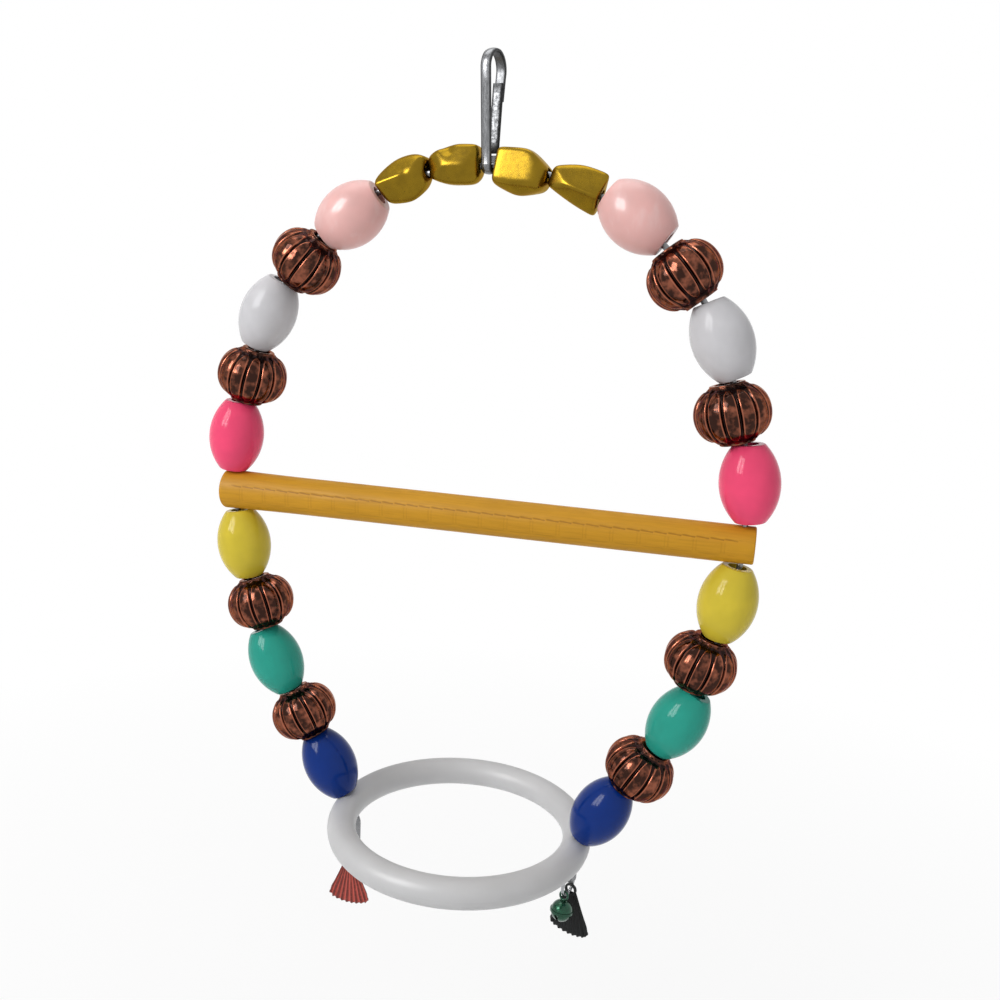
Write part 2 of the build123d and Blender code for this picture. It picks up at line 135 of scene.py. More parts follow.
class SwingStage(bpy.types.PropertyGroup):
    """Camera and light."""

    camera_azimuth: FloatProperty(
        name="Azimuth", description="Turn of the camera to the right", default=radians(14.69), subtype="ANGLE"
    )
    camera_elevation: FloatProperty(
        name="Elevation", description="Rise of the camera", default=radians(13.15), subtype="ANGLE"
    )
    camera_roll: FloatProperty(
        name="Roll", description="Roll of the camera", default=radians(2.61), subtype="ANGLE"
    )
    camera_reach: length("Reach", "Distance from the camera to the point that it looks at", 262.0)
    camera_drop: length("Drop", "Depth of that point below the hang point", 110.74)
    lens: FloatProperty(name="Lens", description="Focal length for a 36 mm sensor", default=35.4, min=10.0)
    shift_x: FloatProperty(name="Shift X", description="Sideways shift of the picture", default=0.0258)
    shift_y: FloatProperty(name="Shift Y", description="Upward shift of the picture", default=-0.0012)
    floor_drop: length("Floor drop", "Depth of the floor below the hang point", 330.0)
    floor_radius: length("Floor radius", "Radius of the floor", 900.0)
    key_power: FloatProperty(name="Key", description="Power of the window light", default=3.5, unit="POWER")
    shine_power: FloatProperty(
        name="Shine", description="Power of the window's mirror image", default=8.0, unit="POWER"
    )
    fill_power: FloatProperty(name="Fill", description="Power of the fill light", default=0.8, unit="POWER")
    top_power: FloatProperty(name="Top", description="Power of the light above", default=1.6, unit="POWER")
    sky: FloatProperty(name="Sky", description="Strength of the light from all round", default=0.3, min=0.0)


class SwingSettings(bpy.types.PropertyGroup):
    """Everything that a user may change."""

    sizes: PointerProperty(type=SwingSizes)
    colours: PointerProperty(type=SwingColours)
    stage: PointerProperty(type=SwingStage)


# Shader helpers

class Finish:
    """Builds one material: a principled shader with patterns on Object coordinates in millimetres."""

    def __init__(self, name):
        self.material = bpy.data.materials.new(name)
        self.material.use_nodes = True
        self.tree = self.material.node_tree
        self.tree.nodes.clear()
        self.shader = self.add("ShaderNodeBsdfPrincipled")
        output = self.add("ShaderNodeOutputMaterial")
        self.tree.links.new(self.shader.outputs[0], output.inputs["Surface"])

    def add(self, kind, settings=None, **sockets):
        node = self.tree.nodes.new(kind)
        for setting, value in (settings or {}).items():
            setattr(node, setting, value)
        for socket, value in sockets.items():
            self.feed(node.inputs[socket.replace("_", " ")], value)
        return node

    def feed(self, socket, value):
        if isinstance(value, bpy.types.NodeSocket):
            self.tree.links.new(value, socket)
        elif socket.type == "RGBA" and len(value) == 3:
            socket.default_value = (*value, 1.0)
        else:
            socket.default_value = value

    def surface(self, **sockets):
        for socket, value in sockets.items():
            self.feed(self.shader.inputs[socket.replace("_", " ")], value)

    def place(self, stretch):
        """Object coordinates in millimetres, stretched."""
        where = self.add("ShaderNodeTexCoord").outputs["Object"]
        scale = tuple(1.0 / (MM * s) for s in stretch)
        return self.add("ShaderNodeMapping", Vector=where, Scale=scale).outputs["Vector"]

    def noise(self, size, detail=3.0, roughness=0.5, stretch=(1.0, 1.0, 1.0)):
        """Noise whose grains are about this many millimetres across."""
        where = self.place(stretch)
        grains = {"Scale": 1.0 / size, "Detail": detail, "Roughness": roughness}
        return self.add("ShaderNodeTexNoise", Vector=where, **grains).outputs["Fac"]

    def band(self, value, low, high, to_low=0.0, to_high=1.0):
        """A value mapped from one span to another, clamped."""
        node = self.add("ShaderNodeMapRange", Value=value)
        node.inputs["From Min"].default_value = low
        node.inputs["From Max"].default_value = high
        node.inputs["To Min"].default_value = to_low
        node.inputs["To Max"].default_value = to_high
        return node.outputs["Result"]

    def mix(self, factor, first, second):
        node = self.add("ShaderNodeMix", {"data_type": "RGBA"})
        self.feed(node.inputs[0], factor)
        self.feed(node.inputs[6], first)
        self.feed(node.inputs[7], second)
        return node.outputs[2]

    def math(self, operation, first, second):
        node = self.add("ShaderNodeMath", {"operation": operation})
        self.feed(node.inputs[0], first)
        self.feed(node.inputs[1], second)
        return node.outputs[0]

    def attribute(self, name):
        return self.add("ShaderNodeAttribute", {"attribute_name": name}).outputs["Fac"]

    def bump(self, height, rise, strength):
        """Bump of this height in millimetres."""
        node = self.add("ShaderNodeBump", Height=height, Strength=strength, Distance=rise * MM)
        self.feed(self.shader.inputs["Normal"], node.outputs["Normal"])


def shade(tint, factor):
    return tuple(min(channel * factor, 1.0) for channel in tint)


def gloss_finish(name, tint):
    """Glossy moulded plastic with a little flow in its colour and handling marks in its gloss."""
    finish = Finish(name)
    flow = finish.band(finish.noise(7.0, detail=2.0), 0.3, 0.7)
    base = finish.mix(flow, shade(tint, 0.94), shade(tint, 1.05))
    marks = finish.noise(1.3, detail=5.0, roughness=0.7)
    finish.surface(Base_Color=base, Roughness=finish.band(marks, 0.35, 0.75, 0.06, 0.16))
    finish.surface(IOR=1.5, Specular_IOR_Level=0.15)
    finish.bump(finish.noise(4.5, detail=1.0), 0.05, 0.5)
    return finish.material


def pearl_finish(name, tint):
    """Soft pearl lustre with faint streaks that swirl through the plastic."""
    finish = Finish(name)
    drift = finish.noise(9.0, detail=2.0)
    streak = finish.noise(3.2, detail=4.0, stretch=(1.0, 1.0, 2.6))
    base = finish.mix(finish.band(drift, 0.32, 0.7), shade(tint, 0.92), shade(tint, 1.04))
    base = finish.mix(finish.band(streak, 0.55, 0.8, 0.0, 0.35), base, (0.92, 0.74, 0.72))
    finish.surface(Base_Color=base, Roughness=finish.band(streak, 0.3, 0.7, 0.3, 0.42), IOR=1.5)
    finish.surface(Specular_IOR_Level=0.2, Coat_Weight=0.3, Coat_Roughness=0.14, Subsurface_Weight=0.15)
    finish.surface(Subsurface_Radius=(1.0, 0.5, 0.45), Subsurface_Scale=1.2 * MM)
    finish.bump(finish.noise(3.5, detail=2.0), 0.05, 0.5)
    return finish.material


def bronze_finish(name, tint, dark):
    """Mirror bronze plating with painted shade in the grooves, painted highlights on the lips and painted
    reflection in clouded patches.
    """
    finish = Finish(name)
    groove_shade_lip_highlight = finish.attribute("groove_shade_lip_highlight")
    # Painted reflection: dark and bright cloudy patches stand for the room mirrored in the plating.
    cloud = finish.band(finish.noise(2.4, detail=4.0), 0.45, 0.68)
    base = finish.mix(cloud, shade(tint, 0.32), shade(tint, 2.6))
    # Painted shade: the grooves between the lobes go dark.
    base = finish.mix(finish.band(groove_shade_lip_highlight, 0.1, 0.75), base, dark)
    # Painted highlight: the lips along the lobes' borders go bright.
    base = finish.mix(finish.band(groove_shade_lip_highlight, -0.2, -0.9, 0.0, 0.75), base, shade(tint, 4.5))
    finish.surface(Base_Color=base, Metallic=1.0, Specular_Tint=(0.7, 0.42, 0.32))
    finish.surface(Coat_Weight=0.2, Coat_Roughness=0.1)
    finish.surface(Roughness=finish.band(finish.noise(0.9, detail=4.0), 0.3, 0.75, 0.05, 0.2))
    finish.bump(finish.noise(1.3, detail=3.0), 0.12, 0.7)
    return finish.material


def gold_finish(name, tint):
    """Satin gold plating with a fine grain and a few dark pits."""
    finish = Finish(name)
    cloud = finish.band(finish.noise(3.5, detail=3.0), 0.3, 0.7)
    base = finish.mix(cloud, shade(tint, 0.84), shade(tint, 1.1))
    pits = finish.band(finish.noise(0.55, detail=2.0), 0.7, 0.78)
    base = finish.mix(pits, base, shade(tint, 0.3))
    finish.surface(Base_Color=base, Metallic=1.0, Specular_Tint=(0.8, 0.6, 0.2))
    finish.surface(Coat_Weight=0.15, Coat_Roughness=0.3)
    finish.surface(Roughness=finish.band(finish.noise(1.1, detail=4.0), 0.3, 0.7, 0.2, 0.3))
    finish.bump(finish.noise(0.22, detail=3.0), 0.01, 0.5)
    return finish.material


def steel_finish(name, tint, mottle, roughness):
    """Bright plated strip with drawn lines along it that double as painted highlight streaks, painted shade
    on its edges and inner face, and wear and roughness as given.
    """
    finish = Finish(name)
    drawn = finish.noise(0.5, detail=4.0, stretch=(0.35, 0.35, 14.0))
    wear = finish.noise(0.75, detail=6.0, roughness=0.75)
    # Drawn lines along the strip, lightened up to 1.9 times so they also serve as painted highlight streaks.
    base = finish.mix(finish.band(drawn, 0.35, 0.7), shade(tint, 0.85), shade(tint, 1.9))
    base = finish.mix(finish.band(wear, 0.45, 0.62, 0.0, mottle), base, shade(tint, 0.34))
    edge = finish.attribute("edge")
    # Painted shade on the strip's edges and inner face.
    base = finish.mix(finish.band(edge, 0.1, 1.0, 0.0, 0.9), base, shade(tint, 0.16))
    finish.surface(Base_Color=base, Metallic=1.0)
    sheen = finish.band(wear, 0.3, 0.75, roughness * 0.6, roughness * 1.4)
    finish.surface(Roughness=finish.math("ADD", sheen, finish.band(edge, 0.1, 0.5, 0.0, 0.25)))
    finish.bump(wear, 0.015, 0.4)
    return finish.material


def bright_finish(name, tint, roughness):
    """Plated small parts with light handling scratches."""
    finish = Finish(name)
    cloud = finish.noise(1.2, detail=4.0)
    base = finish.mix(finish.band(cloud, 0.3, 0.7), shade(tint, 0.78), shade(tint, 1.06))
    finish.surface(Base_Color=base, Metallic=1.0)
    finish.surface(Roughness=finish.band(cloud, 0.3, 0.7, roughness * 0.6, roughness * 1.4))
    finish.bump(finish.noise(0.4, detail=3.0), 0.008, 0.5)
    return finish.material


def lacquer_finish(name, tint):
    """Coloured lacquer over metal, worn paler in patches."""
    finish = Finish(name)
    cloud = finish.noise(1.4, detail=4.0)
    base = finish.mix(finish.band(cloud, 0.3, 0.7), shade(tint, 0.6), shade(tint, 1.25))
    finish.surface(Base_Color=base, Metallic=0.75, Coat_Weight=0.5, Coat_Roughness=0.06)
    finish.surface(Roughness=finish.band(cloud, 0.3, 0.7, 0.16, 0.34))
    finish.bump(finish.noise(0.7, detail=2.0), 0.015, 0.5)
    return finish.material


def enamel_finish(name, tint):
    """Thin enamel on a pleated stamping, with painted shade in the folds, painted light on the ridges, and
    pale rubbed specks.
    """
    finish = Finish(name)
    fold_shade = finish.attribute("fold_shade")
    speck = finish.noise(0.6, detail=4.0)
    # Painted shade in the folds and painted light on the ridges.
    base = finish.mix(finish.band(fold_shade, 0.1, 0.9), shade(tint, 1.25), shade(tint, 0.3))
    base = finish.mix(finish.band(speck, 0.5, 0.75, 0.0, 0.4), base, shade(tint, 1.6))
    finish.surface(Base_Color=base, Specular_IOR_Level=0.25)
    finish.surface(Roughness=finish.band(speck, 0.3, 0.7, 0.34, 0.55))
    finish.bump(speck, 0.02, 0.5)
    return finish.material


def perch_finish(name, tint, dark):
    """Stained wood with long grain, pores and darker pressed lines."""
    finish = Finish(name)
    grain = finish.noise(0.55, detail=5.0, roughness=0.6, stretch=(16.0, 1.0, 1.0))
    patch = finish.noise(11.0, detail=3.0, stretch=(2.5, 1.0, 1.0))
    pore = finish.noise(0.22, detail=2.0, stretch=(9.0, 1.0, 1.0))
    base = finish.mix(finish.band(patch, 0.3, 0.72), shade(tint, 0.93), shade(tint, 1.05))
    base = finish.mix(finish.band(grain, 0.42, 0.72, 0.0, 0.22), base, dark)
    base = finish.mix(finish.band(pore, 0.66, 0.78, 0.0, 0.3), base, dark)
    base = finish.mix(finish.band(finish.attribute("pressed"), 0.1, 1.0, 0.0, 0.8), base, dark)
    finish.surface(Base_Color=base, IOR=1.45, Specular_IOR_Level=0.15)
    finish.surface(Roughness=finish.band(grain, 0.3, 0.75, 0.42, 0.62))
    finish.bump(finish.math("ADD", grain, finish.math("MULTIPLY", pore, 0.6)), 0.025, 0.6)
    return finish.material


def ring_finish(name, tint):
    """Satin moulded plastic with a slight waviness and scuffs."""
    finish = Finish(name)
    patch = finish.noise(14.0, detail=3.0)
    scuff = finish.noise(0.8, detail=5.0, roughness=0.7)
    base = finish.mix(finish.band(patch, 0.3, 0.7), shade(tint, 0.95), shade(tint, 1.02))
    base = finish.mix(finish.band(scuff, 0.62, 0.8, 0.0, 0.2), base, shade(tint, 0.7))
    finish.surface(Base_Color=base, Roughness=finish.band(scuff, 0.3, 0.7, 0.32, 0.5))
    finish.surface(IOR=1.5, Specular_IOR_Level=0.3)
    finish.bump(finish.noise(2.2, detail=3.0), 0.03, 0.5)
    return finish.material


# Mesh helpers

def settle(shape, name, material, node, place=Matrix.Identity(4)):
    """Turn a finished bmesh into a smooth piece that stands for a node and rides on its body."""
    bmesh.ops.transform(shape, matrix=place, verts=shape.verts)
    bmesh.ops.recalc_face_normals(shape, faces=shape.faces)
    for face in shape.faces:
        face.smooth = True
    mesh = bpy.data.meshes.new(name)
    shape.to_mesh(mesh)
    shape.free()
    mesh.materials.append(material)
    piece = bpy.data.objects.new(name, mesh)
    bpy.context.scene.collection.objects.link(piece)
    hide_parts(node)
    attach(piece, BODY_OF[node])


def dress(node, material):
    """Give a carried-over node its finish."""
    for slot in frame["nodes"][node].material_slots:
        slot.material = material


def new_only(geometry, kind):
    return [item for item in geometry if isinstance(item, kind)]


def draw_on(shape, face, steps):
    """Draw a section face on through steps, each a matrix that carries it to its next place."""
    for number, step in enumerate(steps):
        drawn = bmesh.ops.extrude_face_region(shape, geom=[face])["geom"]
        bmesh.ops.transform(shape, matrix=step, verts=new_only(drawn, bmesh.types.BMVert))
        if number:
            bmesh.ops.delete(shape, geom=[face], context="FACES_ONLY")
        face = new_only(drawn, bmesh.types.BMFace)[0]


def smooth_step(low, high, value):
    share = min(max((value - low) / (high - low), 0.0), 1.0)
    return share * share * (3 - 2 * share)


def about(centre, turn, axis):
    """Turn about an axis through a point."""
    return Matrix.Translation(centre) @ Matrix.Rotation(turn, 4, axis) @ Matrix.Translation(-centre)


def bead_place(node):
    """Place on the wire of a bead made on the Z axis, with X away from the hoop's middle."""
    spin = JOINTS[f"{node}_spin"]
    origin, axis = Vector(spin["pos_m"]), Vector(spin["axis"])
    away = Vector((-axis.z, 0.0, axis.x))
    if away.dot(origin - HOOP_MIDDLE) < 0:
        away.negate()
    turned = Matrix((away, axis.cross(away), axis)).transposed()
    return Matrix.Translation(origin) @ turned.to_4x4()


# Spring clip

CLIP_YAW = radians(-12.0)
HOOK_CROWN = 0.34
# Painted shade on the hook's inner face, as a share.
HOOK_INNER_SHADE = 0.5
HOOK_TONE = 0.8
HOOK_WEAR = 0.35
HOOK_ROUGHNESS = 0.22
GATE_CROWN = 0.08
# Painted shade on the gate's inner face, as a share.
GATE_INNER_SHADE = 0.0
GATE_TONE = 0.62
GATE_WEAR = 0.7
GATE_ROUGHNESS = 0.55
CROWN_STEPS = 10
INNER_SPREAD = (-0.93, -0.55, 0.55, 0.93)
EDGE_CUT = 0.8
# Span of painted shade towards the strip's edges, as shares of its half width.
EDGE_SHADE_START = 0.45
EDGE_SHADE_FULL = 0.9
BEND_STEPS = 20
LEG_STEPS = 6


class ClipLine:
    """Line of the clip's strip in its own plane: a bow, a bend at the foot and straight legs."""

    def __init__(self, sizes):
        middle = sizes.strip_thickness / 2
        self.bow_r = sizes.bow_radius + middle
        self.eye_r = sizes.eye_radius + middle
        self.bow_z = -sizes.bow_radius
        self.eye_z = sizes.strip_thickness * 2 - sizes.clip_length + sizes.eye_radius
        self.slope = asin((self.bow_r - self.eye_r) / (self.bow_z - self.eye_z))
        bow_far = self.on_circle(self.bow_z, self.bow_r, self.slope)
        eye_near = self.on_circle(self.eye_z, self.eye_r, self.slope)
        self.leg = (bow_far - eye_near).length
        self.tip_run = (bow_far.z + sizes.tip_drop) / cos(self.slope)
        tip = bow_far + (eye_near - bow_far).normalized() * self.tip_run
        gate_top_z = sizes.gate_lap - sizes.tip_drop
        lap = (sizes.strip_thickness + sizes.gate_gap) / cos(self.slope)
        gate_top = Vector((0.0, tip.y + (gate_top_z - tip.z) * tan(self.slope) - lap, gate_top_z))
        self.gate_slope = atan2(gate_top.y - self.eye_r, gate_top.z - self.eye_z)
        eye_far = self.on_circle(self.eye_z, self.eye_r, self.gate_slope)
        self.rise = (gate_top - eye_far).normalized()
        self.gate_root = eye_far + self.rise * sizes.gate_root_rise
        self.gate_run = (gate_top - self.gate_root).length
        self.strip_root = self.gate_root - self.rise * (middle + sizes.gate_root_gap)
        self.root_run = (self.strip_root - eye_far).length

    @staticmethod
    def on_circle(centre_z, radius, slope):
        return Vector((0.0, radius * cos(slope), centre_z - radius * sin(slope)))


def strip_section(shape, sizes, crown, inner_shade):
    """Level section of the strip, crowned on its outer face at +Y; notes painted shade on its edges and inner
    face.
    """
    half_w, half_t = sizes.strip_width / 2, sizes.strip_thickness / 2
    spread = [1 - 2 * step / CROWN_STEPS for step in range(CROWN_STEPS + 1)]
    outer = [(half_w * share, half_t * (1 - 2 * crown * share**2)) for share in spread]
    inner = [(share * half_w, -half_t) for share in INNER_SPREAD]
    inner = [(-half_w, -half_t * EDGE_CUT), *inner, (half_w, -half_t * EDGE_CUT)]
    # Edge value: painted shade towards the strip's edges, and on its inner face as given.
    edge_shade_layer = shape.verts.layers.float.new("edge")
    corners = [shape.verts.new((x, y, 0.0)) for x, y in outer + inner]
    for corner in corners:
        shade_inside = inner_shade if corner.co.y < 0 else 0.0
        edge = smooth_step(half_w * EDGE_SHADE_START, half_w * EDGE_SHADE_FULL, abs(corner.co.x))
        corner[edge_shade_layer] = max(edge, shade_inside)
    return shape.faces.new(corners)


class OBJECT_OT_swing_clip(bpy.types.Operator):
    """Bend the clip's strip and its gate"""

    bl_idname = "object.swing_clip"
    bl_label = "Clip"

    def execute(self, context):
        settings = context.scene.bird_swing
        sizes, line = settings.sizes, ClipLine(settings.sizes)
        yaw = Matrix.Rotation(CLIP_YAW, 4, "Z")
        eye, bow = Vector((0.0, 0.0, line.eye_z)), Vector((0.0, 0.0, line.bow_z))
        hook = bmesh.new()
        section = strip_section(hook, sizes, HOOK_CROWN, HOOK_INNER_SHADE)
        lean = Matrix.Rotation(-line.gate_slope, 4, "X")
        bmesh.ops.transform(hook, matrix=Matrix.Translation(line.strip_root) @ lean, verts=hook.verts)
        bend = (pi + line.gate_slope + line.slope) / BEND_STEPS
        climb = Vector((0.0, -sin(line.slope), cos(line.slope))) * (line.leg / LEG_STEPS)
        over = (pi + 2 * line.slope) / BEND_STEPS
        fall = Vector((0.0, -sin(line.slope), -cos(line.slope))) * line.tip_run
        steps = [Matrix.Translation(line.rise * -line.root_run)]
        steps += [about(eye, -bend, "X")] * BEND_STEPS
        steps += [Matrix.Translation(climb)] * LEG_STEPS
        steps += [about(bow, -over, "X")] * BEND_STEPS
        steps += [Matrix.Translation(fall)]
        draw_on(hook, section, steps)
        hook_tint = shade(settings.colours.steel, HOOK_TONE)
        steel = steel_finish("clip_hook_steel", hook_tint, HOOK_WEAR, HOOK_ROUGHNESS)
        settle(hook, "clip_hook_strip", steel, "clip_hook", yaw)
        gate = bmesh.new()
        section = strip_section(gate, sizes, GATE_CROWN, GATE_INNER_SHADE)
        bmesh.ops.transform(gate, matrix=Matrix.Translation(line.gate_root) @ lean, verts=gate.verts)
        draw_on(gate, section, [Matrix.Translation(line.rise * (line.gate_run / LEG_STEPS))] * LEG_STEPS)
        gate_tint = shade(settings.colours.steel, GATE_TONE)
        worn = steel_finish("clip_gate_steel", gate_tint, GATE_WEAR, GATE_ROUGHNESS)
        settle(gate, "clip_gate_leaf", worn, "clip_gate", yaw)
        return {"FINISHED"}


# Ribbed beads

RIB_HALF = 7.425 * MM
RIB_CREST_R = 9.5 * MM
RIB_COLLAR_R = 4.1 * MM
RIB_COLLAR_RISE = 0.9 * MM
RIB_NECK_R = 4.4 * MM
RIB_BORE_R = 3.0 * MM
RIB_RIM = 0.3 * MM
RIM_EDGE = 0.25 * MM
NECK_STEPS = 10
LOBE_ARC_STEPS = 56
LOBE_STEPS = 24
LOBE_WIDTH_SHARE = 0.86
LOBE_END = 0.78
LOBE_CROWN = 0.24 * MM
LOBE_LIP = 0.05 * MM
LIP_INSET = 0.12
LIP_SPREAD = 0.09
WALL_START = -0.05
WALL_FULL = 0.07
END_DEPTH_SHARE = 0.35
NECK_RIB = 0.22 * MM


def rib_wall():
    """Outline of a ribbed bead's wall from its lower rim to its upper one: a neck, an oval and a neck."""
    lobe_half = RIB_HALF - RIB_COLLAR_RISE
    bulge = RIB_CREST_R - RIB_COLLAR_R
    last = LOBE_END * pi / 2
    turns = [last * (2 * step / LOBE_ARC_STEPS - 1) for step in range(LOBE_ARC_STEPS + 1)]
    oval = [(RIB_COLLAR_R + bulge * cos(turn), lobe_half * sin(turn)) for turn in turns]
    start_r, start_z = oval[-1]
    bend_z = start_z + (start_r - RIB_NECK_R) * lobe_half * cos(last) / (bulge * sin(last))
    top_z = RIB_HALF - RIB_RIM
    neck = []
    for step in range(1, NECK_STEPS + 1):
        share = step / NECK_STEPS
        radius = start_r * (1 - share) ** 2 + RIB_NECK_R * (1 - (1 - share) ** 2)
        height = start_z * (1 - share) ** 2 + 2 * bend_z * share * (1 - share) + top_z * share**2
        neck.append((radius, height))
    return [(radius, -z) for radius, z in reversed(neck)] + oval + neck


def turned_bead(sizes):
    """Body of a ribbed bead before its lobes are pressed: a wall round a bore."""
    shape = bmesh.new()
    rims = [(RIB_NECK_R, RIB_HALF), (RIB_BORE_R, RIB_HALF), (RIB_BORE_R, -RIB_HALF), (RIB_NECK_R, -RIB_HALF)]
    corners = [shape.verts.new((radius, 0.0, height)) for radius, height in rims + rib_wall()]
    for number, corner in enumerate(corners):
        shape.edges.new((corners[number - 1], corner))
    bmesh.ops.bevel(
        shape, geom=corners[:4], offset=RIM_EDGE, segments=3, profile=0.5, affect="VERTICES", material=-1
    )
    bmesh.ops.spin(
        shape, geom=shape.verts[:] + shape.edges[:], cent=(0.0, 0.0, 0.0), axis=(0.0, 0.0, 1.0),
        angle=2 * pi, steps=sizes.lobes * LOBE_STEPS, use_merge=True,
    )
    return shape


def press_lobes(shape, sizes):
    """Press the wall in round each petal-shaped lobe, rib its necks and note painted shade in the grooves and
    painted highlights on the lips.
    """
    groove_shade_lip_highlight_layer = shape.verts.layers.float.new("groove_shade_lip_highlight")
    lobe_half = RIB_HALF - RIB_COLLAR_RISE
    neck_z, top_z = lobe_half * sin(LOBE_END * pi / 2), RIB_HALF - RIB_RIM
    for vert in shape.verts:
        radius = hypot(vert.co.x, vert.co.y)
        if radius < RIB_NECK_R * 0.999 or abs(vert.co.z) > top_z:
            continue
        turn = atan2(vert.co.y, vert.co.x) / (2 * pi) * sizes.lobes
        across = abs(2 * (turn - floor(turn)) - 1)
        up_neck = max(abs(vert.co.z) - neck_z, 0.0) / (top_z - neck_z)
        up_wall = min(asin(min(abs(vert.co.z) / lobe_half, 1.0)) / (pi / 2), LOBE_END)
        width = LOBE_WIDTH_SHARE * sqrt(max(1 - (up_wall / LOBE_END) ** 4, 0.0))
        inside = width - across
        raised = smooth_step(WALL_START, WALL_FULL, inside) * (1 - smooth_step(0.0, 0.1, up_neck))
        lip = raised * exp(-((inside - LIP_INSET) / LIP_SPREAD) ** 2)
        depth = sizes.lobe_depth * (END_DEPTH_SHARE + (1 - END_DEPTH_SHARE) * cos(up_wall * pi / 2))
        press = depth * (1 - raised) * (1 - up_neck) ** 2
        press += raised * LOBE_CROWN * (across / max(width, 0.2)) ** 2 - LOBE_LIP * lip
        rib = smooth_step(LOBE_END - 0.1, LOBE_END, up_wall) * (1 - smooth_step(0.6, 1.0, up_neck))
        press += NECK_RIB * rib * cos(2 * pi * turn) * (1 - raised)
        share = (radius - press) / radius
        vert.co.x *= share
        vert.co.y *= share
        # Groove value: painted shade in the grooves, less up the necks, and negative on the lips for a
        # painted highlight.
        vert[groove_shade_lip_highlight_layer] = (1 - raised) * (1 - 0.7 * smooth_step(0.1, 0.6, up_neck)) - lip


class OBJECT_OT_swing_ribbed(bpy.types.Operator):
    """Turn and press the eight ribbed beads"""

    bl_idname = "object.swing_ribbed"
    bl_label = "Ribbed beads"

    def execute(self, context):
        settings = context.scene.bird_swing
        sizes, colours = settings.sizes, settings.colours
        plating = bronze_finish("bronze_plating_bright", colours.bronze, colours.bronze_groove_shade)
        shape = turned_bead(sizes)
        press_lobes(shape, sizes)
        for side in SIDES:
            for number in range(1, 5):
                node = f"{side}_ribbed_bead_{number}"
                settle(shape.copy(), f"{node}_lobes", plating, node, bead_place(node))
        shape.free()
        return {"FINISHED"}


# Gold nuggets

NUGGET_BORE_R = 1.6 * MM
NUGGET_EDGE = 12.0
NUGGET_ROUND_STEPS = 96
NUGGET_LONG_STEPS = 72
NUGGET_MOUTH = 0.26
NUGGET_BORE_HALF = 6.0 * MM
NUGGET_BACK = ((0.0, 0.1, -1.0, 4.8), (0.1, 0.72, -0.7, 5.0), (-0.1, -0.7, -0.7, 4.8))

# Facets of each nugget as it lies in front of the camera: along the wire, up, to the front, and reach in mm
NUGGETS = {
    "right_gold_nugget_1": (
        (-0.08, 0.13, 0.99, 4.7), (0.0, -0.8, 0.6, 5.7), (-0.1, 0.99, 0.1, 5.4), (0.35, 0.93, 0.05, 5.4),
        (0.66, 0.75, 0.05, 5.3), (-1.0, 0.0, 0.0, 6.7), (-0.33, -0.94, 0.0, 6.2), (0.33, -0.94, 0.0, 6.0),
        (0.98, -0.2, 0.0, 6.85), (0.72, 0.1, 0.68, 6.5),
    ),
    "right_gold_nugget_2": (
        (0.0, 0.65, 0.76, 3.6), (0.0, -0.77, 0.64, 3.8), (-0.41, 0.91, 0.1, 5.2), (-0.27, -0.96, 0.0, 4.2),
        (-0.1, -0.99, 0.0, 4.4), (-0.1, 0.99, 0.0, 5.4), (1.0, 0.0, 0.0, 6.5), (-1.0, 0.0, 0.0, 6.95),
        (-0.5, 0.0, 0.86, 5.3),
    ),
    "left_gold_nugget_1": (
        (-0.06, 0.45, 0.89, 4.4), (0.05, -0.55, 0.83, 4.2), (-0.14, 0.99, 0.0, 5.4), (0.34, 0.94, 0.0, 5.4),
        (0.44, -0.9, 0.0, 4.8), (0.11, -0.99, 0.0, 4.4), (-0.64, -0.77, 0.0, 7.0), (-1.0, 0.0, 0.0, 6.7),
        (1.0, 0.0, 0.0, 6.95), (-0.6, -0.1, 0.8, 6.0), (0.6, 0.1, 0.79, 5.2),
    ),
    "left_gold_nugget_2": (
        (0.0, 0.66, 0.75, 4.0), (0.0, -0.62, 0.78, 3.6), (-0.95, -0.31, 0.0, 6.9), (0.98, -0.2, 0.0, 6.2),
        (0.4, 0.92, 0.05, 5.2), (0.72, 0.69, 0.05, 6.1), (-0.07, 1.0, 0.0, 5.6), (-0.6, 0.8, 0.0, 7.2),
        (0.28, -0.96, 0.0, 5.7), (-0.43, -0.9, 0.0, 6.1), (-0.62, -0.05, 0.78, 5.6),
    ),
}

# Dent of a nugget: the way to its middle, its spread and its depth in mm
DENTS = {
    "left_gold_nugget_1": ((0.2, 0.84, 0.5), 0.34, 0.8),
    "left_gold_nugget_2": ((-0.45, 0.1, 0.88), 0.25, 0.4),
}


def pebble_reach(way, facets, dent):
    """Distance from a nugget's middle to its skin, with the facets' edges rounded and a dent pressed in."""
    total = 0.0
    for along, up, front, reach in facets:
        out = Vector((along, up, front)).normalized()
        total += (max(way.dot(out), 0.0) / reach) ** NUGGET_EDGE
    reach = total ** (-1 / NUGGET_EDGE)
    if dent:
        middle, spread, depth = dent
        apart = way.angle(Vector(middle))
        reach -= depth * exp(-((apart / spread) ** 2))
    return reach * MM


